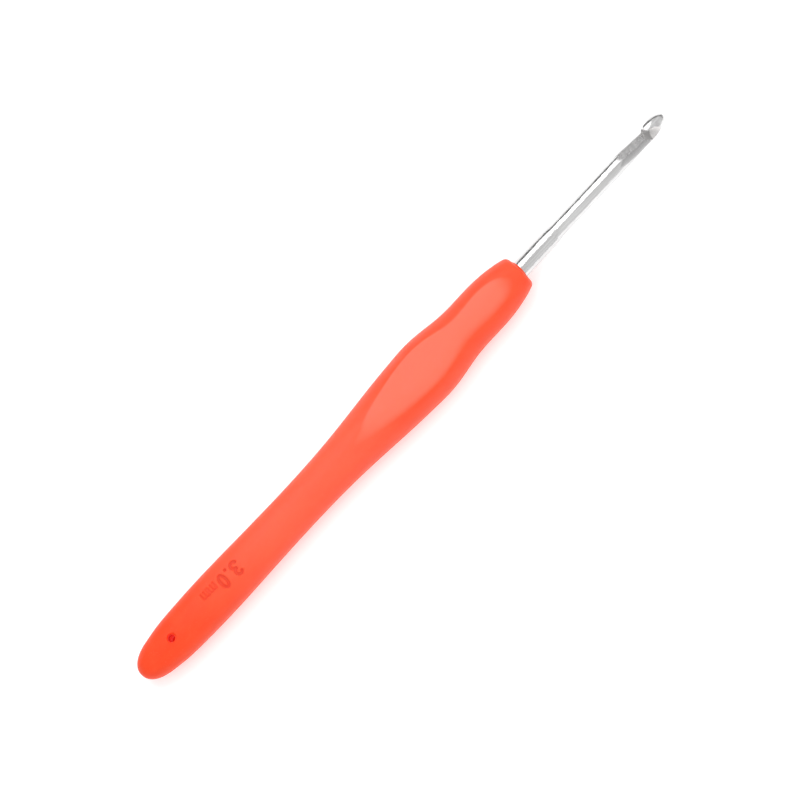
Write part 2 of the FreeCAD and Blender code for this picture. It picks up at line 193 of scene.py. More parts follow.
def settle_on(field, points, rounds=2, reach=0.02):
    """Move points onto the field's zero surface, down its gradient, by at most reach in each round."""
    step = 0.004
    for _ in range(rounds):
        here = field(*points.T)
        slope = np.empty_like(points)
        for axis in range(3):
            ahead = points.copy()
            behind = points.copy()
            ahead[:, axis] += step
            behind[:, axis] -= step
            slope[:, axis] = (field(*ahead.T) - field(*behind.T)) / (2 * step)
        steep = np.maximum((slope ** 2).sum(1), 0.05)
        move = -slope * (here / steep)[:, None]
        length = np.maximum(np.linalg.norm(move, axis=1), 1e-9)
        points = points + move * np.minimum(1, reach / length)[:, None]
    return points


def even_out(points, quads, share=0.5):
    """Move each point part of the way to the middle of its neighbours."""
    total = np.zeros_like(points)
    count = np.zeros(len(points))
    for a, b in ((0, 1), (1, 2), (2, 3), (3, 0)):
        for start, end in ((quads[:, a], quads[:, b]), (quads[:, b], quads[:, a])):
            np.add.at(total, start, points[end])
            np.add.at(count, start, 1)
    middle = total / np.maximum(count, 1)[:, None]
    return points + share * (middle - points)


# ------------------------------------------------------------------ aluminium shaft

# Turned shaft: thick stock, shoulder, working part and slow swell up to the ramp.
STOCK_RADIUS = 1.75
WORKING_RADIUS = 1.5
SHOULDER_START = 7.8
SHOULDER_END = 10.4
SWELL_START = 14.5
RAMP_START = 26.8
RAMP_RADIUS = 1.56

# Neck between the ramp's start and the throat: slimmer than the shaft, and lifted towards the mouth.
THROAT_AT = 34.2
THROAT_HEIGHT = 0.12
NECK_END = THROAT_AT + 1
NECK_LIFT = 0.13
NECK_LESS_WIDTH = 0.06
NECK_LESS_HEIGHT = 0.34

# Egg-shaped head.
HEAD_HALF_LENGTH = 4.0
HEAD_HALF_HEIGHT = 1.75
HEAD_HALF_WIDTH = 1.68
HEAD_OFFSET = 0.55
HEAD_AT = EXPOSED_LENGTH - HEAD_HALF_LENGTH

# Mouth and the cuts that form it.
MOUTH_TURN = math.radians(15)
LIP_AT = 34.05
LIP_CENTRE = 35.3
LIP_RADIUS = 1.25
LIP_TRIM_START = 33.2
LIP_TRIM_END = 34.95
LIP_TRIM_BOTTOM = 0.6
CHEEK_HEIGHT = 0.74
CHEEK_TURN = math.radians(50)
CHEEK_END_AT = 33.8
CHEEK_END_HEIGHT = 1.1
ROOF_AT = 33.81
ROOF_HEIGHT = 1.03
ROOF_RADIUS = 0.99
SCOOP_AT = 34.15
SCOOP_HEIGHT = 1.1
SCOOP_RADIUS = 0.6
SCOOP_SIDE = 2.1
SCOOP_SHIFT = 1.35
SCOOP_GROWTH = 1.1
SCOOP_DROP = 0.1
EDGE_ROUNDINGS = {"ramp": 0.08, "roof": 0.12, "cheek": 0.05, "scoop": 0.1, "lip": 0.2}

# Flats on the hidden tang.
TANG_FLAT_HEIGHT = 1.15
TANG_FLAT_LENGTH = 9.0


def shaft_radius(d):
    """Radius of the turned shaft."""
    shoulder = smooth_step(SHOULDER_START, SHOULDER_END, d)
    swell = smooth_step(SWELL_START, RAMP_START, d)
    radius = STOCK_RADIUS + (WORKING_RADIUS - STOCK_RADIUS) * shoulder
    return radius + (RAMP_RADIUS - WORKING_RADIUS) * swell


def shaft_blank(d, across, mouth):
    """Shaft, neck and egg-shaped head before the cuts."""
    along = smooth_step(RAMP_START - 1, NECK_END, d)
    lift = NECK_LIFT * along
    half_width = shaft_radius(d) - NECK_LESS_WIDTH * along
    half_height = shaft_radius(d) - NECK_LESS_HEIGHT * along
    round_part = np.sqrt((across / half_width) ** 2 + ((mouth - lift) / half_height) ** 2) - 1
    rod = round_part * half_height
    rod = soft_max(rod, d - NECK_END, 0.3)
    rod = soft_max(rod, -TANG_LENGTH - d, 0.6)
    egg = np.sqrt(((d - HEAD_AT) / HEAD_HALF_LENGTH) ** 2
                  + (across / HEAD_HALF_WIDTH) ** 2
                  + ((mouth - HEAD_OFFSET) / HEAD_HALF_HEIGHT) ** 2) - 1
    return soft_min(rod, egg * HEAD_HALF_WIDTH, 0.25)


def line_height(d, start, end):
    """Height of a straight cut line at d, through two (d, height) points."""
    slope = (end[1] - start[1]) / (end[0] - start[0])
    return start[1] + slope * (d - start[0])


def shaft_cuts(d, across, mouth):
    """Fields of the cuts by name, each negative where metal is taken away.

    They are the flat ramp, the mouth's round roof, the slanting cheeks, the scoops beside the mouth, and
    the trim that makes the lip round when seen from above. Between the middle and SCOOP_SIDE, a scoop
    shifts towards the tip, grows and drops.
    """
    side = np.abs(across)
    ramp = line_height(d, (RAMP_START, RAMP_RADIUS), (THROAT_AT, THROAT_HEIGHT)) - mouth
    ramp = np.maximum(ramp, d - LIP_AT)
    roof = np.hypot(d - ROOF_AT, mouth - ROOF_HEIGHT) - ROOF_RADIUS
    slanted = math.cos(CHEEK_TURN) * mouth + math.sin(CHEEK_TURN) * side
    cheek = line_height(d, (RAMP_START, RAMP_RADIUS), (THROAT_AT, CHEEK_HEIGHT)) - slanted
    cheek_end = (d - CHEEK_END_AT) * 0.75 - (slanted - CHEEK_END_HEIGHT) * 0.66
    cheek = np.maximum(cheek, np.maximum(cheek_end, d - LIP_AT))
    share = side / SCOOP_SIDE
    scoop_at = SCOOP_AT + SCOOP_SHIFT * share
    scoop_radius = SCOOP_RADIUS + SCOOP_GROWTH * share
    scoop = (np.hypot(d - scoop_at, mouth - SCOOP_HEIGHT + SCOOP_DROP * share) - scoop_radius) * 0.8
    lip = LIP_RADIUS - np.hypot(d - LIP_CENTRE, across)
    lip = np.maximum(np.maximum(lip, d - LIP_TRIM_END),
                     np.maximum(LIP_TRIM_BOTTOM - mouth, LIP_TRIM_START - d))
    return {"ramp": ramp, "roof": roof, "cheek": cheek, "scoop": scoop, "lip": lip}


def shaft_field(d, across, mouth):
    """The whole shaft: blank, less the cuts, less the tang's flats."""
    field = shaft_blank(d, across, mouth)
    for name, cut in shaft_cuts(d, across, mouth).items():
        field = soft_max(field, -cut, EDGE_ROUNDINGS[name])
    past_flats = np.maximum(d + TANG_LENGTH - TANG_FLAT_LENGTH, 0)
    flats = np.abs(mouth) - TANG_FLAT_HEIGHT - past_flats * 0.6
    return soft_max(field, flats, 0.1)


def on_cut(cut, reach):
    """1 on the face that a cut leaves, fading to 0 at reach from it."""
    return 1 - smooth_step(0.02, reach, np.abs(cut))


def shaft_to_row(points):
    """From (d, across, mouth) to the row frame, with the mouth turned off the panel's direction."""
    d, across, mouth = np.asarray(points).T
    y = across * math.cos(MOUTH_TURN) + mouth * math.sin(MOUTH_TURN)
    z = mouth * math.cos(MOUTH_TURN) - across * math.sin(MOUTH_TURN)
    return np.stack([FRONT_X + d, y, AXIS_Z + z], 1)


def build_shaft():
    """Aluminium shaft, with point attributes for its tool-marked places and for its matt places, which the
    material also darkens as painted shade.

    Its grid is coarse along the hidden tang, finer along the plain rod, and fine at the hook.
    """
    fine = 0.05
    tang = np.arange(-TANG_LENGTH - 0.6, -2.0, 0.6)
    rod = np.arange(-2.0, RAMP_START - 1.0, 0.3)
    hook = np.arange(RAMP_START - 1.0, EXPOSED_LENGTH + 0.2, fine)
    stations = np.concatenate([tang, rod, hook])
    sideways = np.arange(-2.0, 2.01, fine)
    upward = np.arange(-2.0, 2.8, fine)
    points, quads = field_surface(shaft_field, (stations, sideways, upward))
    for _ in range(3):
        points = settle_on(shaft_field, even_out(points, quads))
    points[:, 0] = np.minimum(points[:, 0], EXPOSED_LENGTH)
    piece = mesh_object("hook_shaft_polished", shaft_to_row(points), quads.tolist())
    cuts = shaft_cuts(*points.T)
    on_roof = on_cut(cuts["roof"], 0.10)
    on_scoop = on_cut(cuts["scoop"], 0.10)
    on_ramp = on_cut(cuts["ramp"], 0.08)
    # The facet share marks the ramp, the cheeks (fading towards their outer side) and the roof, for
    # roughness and painted shade.
    on_cheek = on_cut(cuts["cheek"], 0.08) * smooth_step(1.65, 0.9, np.abs(points[:, 1]))
    point_attribute(piece, "machined", np.maximum(on_roof, on_scoop))
    point_attribute(piece, "facet_with_painted_shade", np.maximum.reduce([on_ramp, 0.6 * on_cheek, 0.7 * on_roof]))
    return piece


# ------------------------------------------------------------------ soft grip

# Half sizes of the grip's cross-section, as (s, size) at the places that shape it.
HALF_WIDTH = smooth_curve(
    (0, 3.4), (1.2, 3.78), (2.2, 4.05), (3.6, 4.34), (5.1, 4.58), (8.0, 4.84), (11.0, 4.89),
    (14.0, 4.88), (17.0, 5.08), (20.7, 5.63), (24.8, 6.0), (28.4, 5.88), (32.2, 5.66), (38.0, 5.2),
    (44.0, 4.68), (51.5, 4.26), (59.8, 4.14), (71.5, 4.3), (83.0, 4.46), (89.5, 4.3), (93.5, 4.04),
    (96.5, 3.6), (101.3, 3.03))
HALF_THICKNESS = smooth_curve(
    (0, 3.1), (1.2, 3.5), (2.2, 3.8), (3.6, 4.16), (5.1, 4.44), (8.0, 4.74), (11.0, 4.82), (17.0, 5.04),
    (20.7, 5.6), (24.8, 5.95), (32.2, 5.55), (41.3, 4.78), (51.5, 4.1), (59.8, 3.85), (71.5, 3.9),
    (83.0, 3.95), (89.5, 3.85), (93.5, 3.62), (96.5, 3.28), (101.3, 2.85))

# Power of the cross-section's superellipse, and height of the flat panels over the axis.
SQUARENESS = smooth_curve((0, 2.0), (20, 2.0), (40, 2.08), (60, 2.3), (85, 2.3), (102.5, 2.1))
PANEL = smooth_curve(
    (-2, 3.83), (4, 4.04), (11, 4.3), (17, 4.53), (23, 4.7), (30, 4.75), (45, 4.75), (60, 4.75),
    (110, 4.75))

CAP_START = 96.3
CAP_ROUNDNESS = 2.3
NOSE_ROUNDING = 0.75
SEAM_RISE = 0.045
HOLE_FROM_BUTT = 8.9
HOLE_RADIUS = 0.75
COLUMNS = 232

# Cavity that the core fills: a sleeve with collars, and a slimmer end past the core's tongue.
CORE_START = 3.2
CORE_RADIUS = 2.55
COLLAR_RADIUS = 2.95
COLLAR_COUNT = 6
COLLAR_SPACING = 11.0
COLLAR_LENGTH = 2.0
SLEEVE_END = 85.0
TONGUE_END = 94.5


def cap_factor(s):
    """Closes the butt: 1 where the cap starts and 0 at the very end."""
    share = np.clip((s - CAP_START) / (GRIP_LENGTH - CAP_START), 0, 1)
    return (1 - share ** CAP_ROUNDNESS) ** (1 / CAP_ROUNDNESS)


def nose_shrink(s):
    """How far the rounded front edge draws the skin in."""
    inward = np.clip(NOSE_ROUNDING - s, 0, NOSE_ROUNDING)
    return NOSE_ROUNDING - np.sqrt(NOSE_ROUNDING ** 2 - inward ** 2)


# Size mark: numerals and unit in a plain block style, on a line of text that runs towards the butt with
# its baseline on the +Y side. In each sign, u runs along the line and v stands on the baseline.
MARK_HEIGHT = 3.0
MARK_STROKE = 0.5
MARK_DEPTH = 0.28
MARK_NEAREST_BUTT = 17.0
MARK_FURTHEST = 28.2


def segment_distance(u, v, a, b):
    """Distance to the straight stroke from a to b."""
    along = np.array(b, float) - np.array(a, float)
    share = ((u - a[0]) * along[0] + (v - a[1]) * along[1]) / (along @ along)
    share = np.clip(share, 0, 1)
    return np.hypot(u - a[0] - share * along[0], v - a[1] - share * along[1])


def arc_distance(u, v, centre, radii, start, end, steps=14):
    """Distance to an elliptical arc, taken as short chords."""
    angles = np.radians(np.linspace(start, end, steps))
    ring = [(centre[0] + radii[0] * math.cos(a), centre[1] + radii[1] * math.sin(a)) for a in angles]
    nearest = np.full(np.shape(u), 1e3)
    for a, b in zip(ring, ring[1:]):
        nearest = np.minimum(nearest, segment_distance(u, v, a, b))
    return nearest


def digit_three(u, v):
    """Distance to the strokes of a 3; the other signs work in the same way."""
    upper = arc_distance(u, v, (0.78, 2.2), (0.6, 0.62), 150, -90)
    lower = arc_distance(u, v, (0.78, 0.8), (0.66, 0.66), 90, -155)
    return np.minimum(upper, lower)


def full_stop(u, v):
    return np.hypot(u - 0.25, v - 0.22)


def digit_zero(u, v):
    return arc_distance(u, v, (0.8, 1.5), (0.6, 1.3), 0, 360, 25)


def small_m(u, v):
    legs = np.minimum(segment_distance(u, v, (0.15, 0.1), (0.15, 1.35)),
                      np.minimum(segment_distance(u, v, (0.85, 0.1), (0.85, 1.0)),
                                 segment_distance(u, v, (1.55, 0.1), (1.55, 1.0))))
    arches = np.minimum(arc_distance(u, v, (0.5, 1.0), (0.35, 0.35), 180, 0, 8),
                        arc_distance(u, v, (1.2, 1.0), (0.35, 0.35), 180, 0, 8))
    return np.minimum(legs, arches)


# Each sign's left edge, as a distance from the butt; its share of the full stroke and depth; its shape.
MARK_GLYPHS = (
    (27.1, 1.0, digit_three),
    (24.85, 1.0, full_stop),
    (23.8, 1.0, digit_zero),
    (21.5, 0.72, small_m),
    (19.75, 0.72, small_m),
)


def size_mark(from_butt, y):
    """Depth of the sunk mark at a place on the front face."""
    baseline = MARK_HEIGHT / 2
    depth = np.zeros(np.shape(y))
    for start, weight, glyph in MARK_GLYPHS:
        stroke = MARK_STROKE * weight
        distance = glyph(start - from_butt, baseline - y)
        groove = 1 - smooth_step(stroke * 0.35, stroke * 0.75, distance)
        depth = np.maximum(depth, weight * groove)
    return MARK_DEPTH * depth


def column_angles():
    """Angles round the grip, closer together under the size mark and at the parting lines."""
    def spread(angle):
        from_top = np.abs((angle - 90 + 180) % 360 - 180)
        from_seam = np.minimum(np.abs((angle + 180) % 360 - 180), np.abs(angle % 360 - 180))
        close = 1.7 * np.exp(-(from_top / 22.0) ** 4) + 2.6 * np.exp(-(from_seam / 3.0) ** 2)
        return 1 + close + 0.5 * np.exp(-(from_top / 60.0) ** 4)
    fine = np.linspace(0, 360, 7201)
    weight = np.cumsum(spread(fine))
    weight = (weight - weight[0]) / (weight[-1] - weight[0])
    return np.radians(np.interp(np.arange(COLUMNS) / COLUMNS, weight, fine))


def skin_stations():
    """Places of the rings, behind the front face, from the nose's edge to the butt's end."""
    mark_start = GRIP_LENGTH - MARK_FURTHEST
    mark_end = GRIP_LENGTH - MARK_NEAREST_BUTT
    nose = NOSE_ROUNDING * (1 - np.sin(np.radians(np.linspace(88, 6, 9))))
    neck = np.arange(0.9, 4.0, 0.25)
    body = np.arange(4.0, mark_start, 0.42)
    mark = np.arange(mark_start, mark_end, 0.09)
    heel = np.arange(mark_end, CAP_START, 0.3)
    cap_turn = np.radians(np.linspace(0, 89.2, 34))
    cap = CAP_START + (GRIP_LENGTH - CAP_START) * np.sin(cap_turn)
    return np.concatenate([nose, neck, body, mark, heel, cap])


def skin_ring(s, angles):
    """Outer skin at one station: y and z from the shaft's axis, then the satin-and-painted-sheen and
    size-mark shares.

    The panels are the skin's round shape cut off flat. The front one is satin and paler by a painted
    highlight, with a crisper border on the +Y side, where the light falls. The body behind it is weakly
    satin and paler by painted sheen, most on top.
    """
    half_width = float((HALF_WIDTH(s) - nose_shrink(s)) * cap_factor(s))
    half_thickness = float((HALF_THICKNESS(s) - nose_shrink(s)) * cap_factor(s))
    power = float(SQUARENESS(s))
    cosine, sine = np.cos(angles), np.sin(angles)
    reach = (np.abs(cosine / half_width) ** power + np.abs(sine / half_thickness) ** power) ** (-1 / power)
    y = reach * cosine
    z = reach * sine
    panel = float(PANEL(s))
    edge = 0.3 + 0.9 * smooth_step(-1.0, 2.0, -y) + 0.6 * smooth_step(9.0, 3.0, s)
    top = soft_min(z, np.full_like(z, panel), edge)
    # Painted highlight: the satin panel's pale border is crisper on the +Y side, where the light falls.
    lit_side_share = smooth_step(-0.7, 0.7, y)
    satin_and_painted_sheen = smooth_step(-0.8 + 0.7 * lit_side_share, 0.35 - 0.2 * lit_side_share, z - panel)
    satin_and_painted_sheen *= 0.35 + 0.65 * smooth_step(1.0, 6.0, s)
    # Painted sheen: the body behind the panel is paler, most on top where the light falls; it is also a
    # little less rough there.
    painted_top_sheen = 0.22 + 0.28 * smooth_step(0.2, 0.95, z / half_thickness) * smooth_step(30, 45, s)
    satin_and_painted_sheen = np.maximum(satin_and_painted_sheen, painted_top_sheen * smooth_step(95, 62, s))
    low = soft_max(z, np.full_like(z, -panel), 0.35)
    z = np.where(z > 0, top, low)
    z = np.clip(z, -PANEL_HEIGHT, PANEL_HEIGHT)
    seam_rise = SEAM_RISE * (1 + 0.35 * float(waves(s, 3, (7.0, 3.1))))
    seam = np.exp(-(z / 0.1) ** 2) * seam_rise * min(1.0, float(cap_factor(s)) * 1.5)
    y = y + np.sign(y) * np.where(np.abs(y) > 0.5, seam, 0)
    y = np.clip(y, -WIDEST, WIDEST)
    mark = size_mark(GRIP_LENGTH - s, y) * (z > 0)
    return y, z - mark, satin_and_painted_sheen, mark / MARK_DEPTH


def nose_rim(angles):
    """Height of the rim round the metal: proud at front and back, lower and nicked at the parting line."""
    height = RIM_HEIGHT * (0.15 + 0.85 * np.sin(angles) ** 2)
    height += 0.03 * waves(np.degrees(angles), 5, (120.0, 51.43, 27.7))
    nick = np.exp(-((np.degrees(angles) - 186.0) / 7.0) ** 2)
    return np.clip(height - 0.22 * nick, -0.25, RIM_HEIGHT)


def nose_rings(angles):
    """Rim round the metal, then the bore that the metal passes through, as (s, radius)."""
    rim = nose_rim(angles)
    # Each place on the rim's rounded outline is (radius, share of the rim's height).
    outline = ((2.3, 0.4), (2.16, 0.82), (2.04, 1.0), (1.92, 1.0), (1.83, 0.86), (1.78, 0.5),
               (STOCK_RADIUS, -0.3))
    rings = [(-share * rim, radius) for radius, share in outline]
    rings.append((np.full_like(angles, CORE_START), STOCK_RADIUS))
    return rings


def core_rings():
    """Inside of the grip as (s, radius), which follows the collared core and ends past its tongue."""
    rings = [(CORE_START, CORE_RADIUS)]
    for number in range(1, COLLAR_COUNT + 1):
        front = CORE_START + COLLAR_SPACING * number
        back = front + COLLAR_LENGTH
        rings += [(front, CORE_RADIUS), (front, COLLAR_RADIUS), (back, COLLAR_RADIUS), (back, CORE_RADIUS)]
    rings += [(SLEEVE_END, CORE_RADIUS), (SLEEVE_END, 2.1), (TONGUE_END, 2.1), (TONGUE_END, 0.6)]
    return rings


def tube_faces(rings, columns):
    """Quads between each ring and the next, with one face over each end of the row of rings."""
    faces = []
    for ring in range(rings - 1):
        for column in range(columns):
            following = (column + 1) % columns
            a, b = ring * columns + column, ring * columns + following
            faces.append((a, b, b + columns, a + columns))
    last = (rings - 1) * columns
    faces.append(tuple(range(columns))[::-1])
    faces.append(tuple(range(last, last + columns)))
    return faces


def build_grip():
    """Soft grip as one closed skin: the core's cavity, the bore, the rim, and the outside to the butt."""
    angles = column_angles()
    plain = np.zeros_like(angles)
    points = []
    satin_and_painted_sheen = []
    sunk = []

    def add_ring(s, y, z, ring_satin_and_painted_sheen, ring_sunk):
        points.append(np.stack([FRONT_X - s + 0 * y, y, AXIS_Z + z], 1))
        satin_and_painted_sheen.append(ring_satin_and_painted_sheen)
        sunk.append(ring_sunk)

    for s, radius in core_rings()[::-1] + nose_rings(angles)[::-1]:
        add_ring(s, radius * np.cos(angles), radius * np.sin(angles), plain, plain)
    for s in skin_stations():
        add_ring(s, *skin_ring(s, angles))
    piece = mesh_object("soft_grip_skin", np.concatenate(points), tube_faces(len(points), COLUMNS))
    # The satin share carries painted highlight and painted sheen as well as the satin finish.
    point_attribute(piece, "satin_and_painted_sheen", np.concatenate(satin_and_painted_sheen))
    point_attribute(piece, "size_mark", np.concatenate(sunk))
    turn_outward(piece)
    cut_cord_hole(piece)
    return piece


def turn_outward(piece):
    """Make every face of a closed piece look outwards."""
    shell = bmesh.new()
    shell.from_mesh(piece.data)
    bmesh.ops.recalc_face_normals(shell, faces=shell.faces)
    shell.to_mesh(piece.data)
    shell.free()


def cut_cord_hole(piece):
    """Take the small hole out of the grip, with a softly rounded mouth at both faces."""
    half = float(HALF_THICKNESS(GRIP_LENGTH - HOLE_FROM_BUTT))
    outline = [(half + 1.0, 1.02), (half + 0.02, 1.02), (half - 0.06, 0.88), (half - 0.18, 0.79),
               (half - 0.36, HOLE_RADIUS)]
    profile = outline + [(-height, radius) for height, radius in reversed(outline)]
    columns = 40
    turns = np.linspace(0, 2 * math.pi, columns, endpoint=False)
    points = []
    for height, radius in profile:
        for turn in turns:
            points.append((BUTT_X + HOLE_FROM_BUTT + radius * math.cos(turn), radius * math.sin(turn),
                           AXIS_Z + height))
    tool = mesh_object("cord_hole_tool", points, tube_faces(len(profile), columns))
    turn_outward(tool)
    modifier = piece.modifiers.new("cord_hole", "BOOLEAN")
    modifier.operation = "DIFFERENCE"
    modifier.solver = "EXACT"
    modifier.object = tool
    bpy.context.view_layer.objects.active = piece
    bpy.ops.object.modifier_apply(modifier=modifier.name)
    bpy.data.objects.remove(tool, do_unlink=True)
    piece.data.polygons.foreach_set("use_smooth", [True] * len(piece.data.polygons))


# ------------------------------------------------------------------ materials

class Nodes:
    """Short way to write a node material."""

    def __init__(self, name):
        self.material = bpy.data.materials.new(name)
        self.material.use_nodes = True
        self.tree = self.material.node_tree
        self.shader = self.tree.nodes["Principled BSDF"]

    def add(self, kind, **settings):
        """New node with its own settings, such as an operation."""
        node = self.tree.nodes.new(kind)
        for name, value in settings.items():
            setattr(node, name, value)
        return node

    def feed(self, socket, value):
        """Link an output to a socket, or set the socket to a constant."""
        if hasattr(value, "is_output"):
            self.tree.links.new(value, socket)
        else:
            socket.default_value = value

    def put(self, node, **values):
        """Feed sockets by name, with _ for a space."""
        for name, value in values.items():
            self.feed(node.inputs[name.replace("_", " ")], value)
        return node

    def place(self, scale):
        """The surface's own position in millimetres, stretched by scale."""
        coordinates = self.add("ShaderNodeTexCoord")
        mapping = self.add("ShaderNodeMapping")
        self.put(mapping, Vector=coordinates.outputs["Object"], Scale=[1000 * part for part in scale])
        return mapping.outputs["Vector"]

    def noise(self, scale, size=1.0, detail=3.0, roughness=0.5):
        """Noise between 0 and 1; a larger scale makes it finer in that direction."""
        node = self.add("ShaderNodeTexNoise")
        self.put(node, Vector=self.place(scale), Scale=size, Detail=detail, Roughness=roughness)
        return node.outputs["Fac"]

    def ramp(self, value, low, high, to_low=0.0, to_high=1.0):
        """Straight change from to_low at low to to_high at high, level beyond them."""
        node = self.add("ShaderNodeMapRange")
        self.put(node, Value=value, From_Min=low, From_Max=high, To_Min=to_low, To_Max=to_high)
        return node.outputs["Result"]

    def math(self, operation, first, second):
        node = self.add("ShaderNodeMath", operation=operation)
        self.feed(node.inputs[0], first)
        self.feed(node.inputs[1], second)
        return node.outputs["Value"]

    def mix(self, share, first, second):
        """Colour between two others; a colour Mix node keeps its colours in sockets 6 and 7."""
        node = self.add("ShaderNodeMix", data_type="RGBA")
        self.feed(node.inputs[0], share)
        self.feed(node.inputs[6], first)
        self.feed(node.inputs[7], second)
        return node.outputs[2]

    def distance_from_hole(self):
        """Millimetres from the cord hole's middle line."""
        node = self.add("ShaderNodeVectorMath", operation="DISTANCE")
        self.feed(node.inputs[0], self.place((1, 1, 0)))
        self.feed(node.inputs[1], (BUTT_X + HOLE_FROM_BUTT, 0, 0))
        return node.outputs["Value"]

    def attribute(self, name):
        return self.add("ShaderNodeAttribute", attribute_name=name).outputs["Fac"]

    def bump(self, height, strength, distance, before=None):
        """Bump with its distance in metres, on top of an earlier one if given."""
        node = self.add("ShaderNodeBump")
        self.put(node, Height=height, Strength=strength, Distance=distance)
        if before is not None:
            self.feed(node.inputs["Normal"], before)
        return node.outputs["Normal"]


# Weak painted glow in the cord hole, which stands for daylight seeping through the rubber and the plastic
# into it.
HOLE_GLOW = 0.2
GLOW_COLOUR = (1.0, 0.012, 0.0, 1)


def rubber_material():
    """Coral thermoplastic rubber: matt, faintly mottled, with a fine grain; paler where it is satin, by
    painted highlight and painted sheen; darker in the sunk size mark by painted shade; with a painted glow
    round the cord hole.
    """
    nodes = Nodes("coral_soft_rubber")
    mottle = nodes.noise((0.25, 0.4, 0.4), 1.0, 4.0)
    speck = nodes.noise((3.0, 3.0, 3.0), 1.0, 2.0)
    base = nodes.mix(nodes.ramp(mottle, 0.3, 0.7), (0.83, 0.053, 0.007, 1), (0.87, 0.066, 0.013, 1))
    colour = nodes.mix(nodes.ramp(speck, 0.62, 0.8, 0.0, 0.2), base, (1.0, 0.16, 0.09, 1))
    # Painted highlight and sheen: the satin share mixes the colour towards a paler pink, and it also lowers
    # the roughness.
    satin_and_painted_sheen = nodes.attribute("satin_and_painted_sheen")
    colour = nodes.mix(nodes.math("MULTIPLY", satin_and_painted_sheen, 0.9), colour, (0.94, 0.16, 0.097, 1))
    # Painted shade: the sunk size mark is mixed towards a darker red.
    mark = nodes.math("MULTIPLY", nodes.attribute("size_mark"), 0.42)
    colour = nodes.mix(mark, colour, (0.50, 0.008, 0.002, 1))
    grain = nodes.noise((9.0, 9.0, 9.0), 1.0, 3.0, 0.6)
    swell = nodes.noise((0.5, 0.7, 0.7), 1.0, 2.0)
    normal = nodes.bump(grain, 0.35, 0.00002)
    normal = nodes.bump(swell, 0.25, 0.0002, normal)
    roughness = nodes.ramp(mottle, 0.25, 0.75, 0.5, 0.6)
    roughness = nodes.math("SUBTRACT", roughness, nodes.math("MULTIPLY", satin_and_painted_sheen, 0.12))
    # Painted light: the rubber glows weakly round the cord hole.
    glow = nodes.ramp(nodes.distance_from_hole(), 0.8, 0.95, HOLE_GLOW, 0.0)
    nodes.put(nodes.shader, Base_Color=colour, Roughness=roughness, Normal=normal, IOR=1.48,
              Specular_IOR_Level=0.3, Sheen_Weight=0.1, Sheen_Roughness=0.4)
    nodes.put(nodes.shader, Emission_Color=GLOW_COLOUR, Emission_Strength=glow)
    nodes.put(nodes.shader, Subsurface_Weight=0.3, Subsurface_Radius=(1.0, 0.2, 0.08),
              Subsurface_Scale=0.0015)
    return nodes.material


def aluminium_material():
    """Polished aluminium with drawing lines and small dents.

    Tool marks roughen the mouth and the scoops. The ramp, the cheeks and the mouth's roof are rougher, and
    darker by painted shade.
    """
    nodes = Nodes("polished_aluminium")
    streaks = nodes.noise((0.12, 7.0, 7.0), 1.0, 4.0, 0.6)
    bands = nodes.noise((0.08, 2.4, 2.4), 1.0, 2.0)
    haze = nodes.noise((0.5, 1.2, 1.2), 1.0, 3.0)
    dents = nodes.noise((1.1, 1.6, 1.6), 1.0, 2.0)
    nicks = nodes.ramp(nodes.noise((1.6, 2.4, 2.4), 1.0, 1.0), 0.66, 0.72)
    marks = nodes.noise((5.0, 2.0, 2.0), 1.0, 4.0, 0.7)
    machined = nodes.attribute("machined")
    facet_with_painted_shade = nodes.attribute("facet_with_painted_shade")
    tone = nodes.mix(nodes.ramp(streaks, 0.3, 0.7), (0.67, 0.67, 0.67, 1), (0.78, 0.78, 0.78, 1))
    tone = nodes.mix(nodes.ramp(bands, 0.35, 0.65, 0.0, 0.6), tone, (0.52, 0.51, 0.51, 1))
    tone = nodes.mix(nodes.math("MULTIPLY", machined, 0.8), tone, (0.92, 0.90, 0.89, 1))
    # Painted shade: the ramp, the cheeks and the roof are darkened.
    tone = nodes.mix(nodes.math("MULTIPLY", facet_with_painted_shade, 0.85), tone, (0.28, 0.275, 0.275, 1))
    roughness = nodes.ramp(haze, 0.3, 0.7, 0.13, 0.24)
    roughness = nodes.math("ADD", roughness, nodes.math("MULTIPLY", machined, 0.22))
    roughness = nodes.math("ADD", roughness, nodes.math("MULTIPLY", facet_with_painted_shade, 0.1))
    facing = nodes.add("ShaderNodeLayerWeight").outputs["Facing"]
    roughness = nodes.math("ADD", roughness, nodes.ramp(facing, 0.15, 0.45, 0.0, 0.1))
    normal = nodes.bump(streaks, 0.2, 0.00002)
    normal = nodes.bump(dents, 0.4, 0.00012, normal)
    normal = nodes.bump(nicks, -0.5, 0.00004, normal)
    rough_marks = nodes.math("MULTIPLY", marks, machined)
    normal = nodes.bump(rough_marks, 0.9, 0.0004, normal)
    nodes.put(nodes.shader, Base_Color=tone, Roughness=roughness, Normal=normal, Metallic=1.0)
    return nodes.material


def core_material():
    """Satin red plastic of the hidden core, which only shows inside the cord hole, where it glows weakly as
    painted light.
    """
    nodes = Nodes("core_plastic")
    mottle = nodes.noise((1.0, 1.0, 1.0), 1.0, 3.0)
    colour = nodes.mix(mottle, (0.90, 0.03, 0.008, 1), (0.95, 0.045, 0.012, 1))
    normal = nodes.bump(nodes.noise((5.0, 5.0, 5.0)), 0.2, 0.00002)
    nodes.put(nodes.shader, Base_Color=colour, Roughness=nodes.ramp(mottle, 0, 1, 0.4, 0.55), Normal=normal)
    # Painted light: the core glows weakly, to light the cord hole.
    nodes.put(nodes.shader, Emission_Color=GLOW_COLOUR, Emission_Strength=HOLE_GLOW)
    return nodes.material


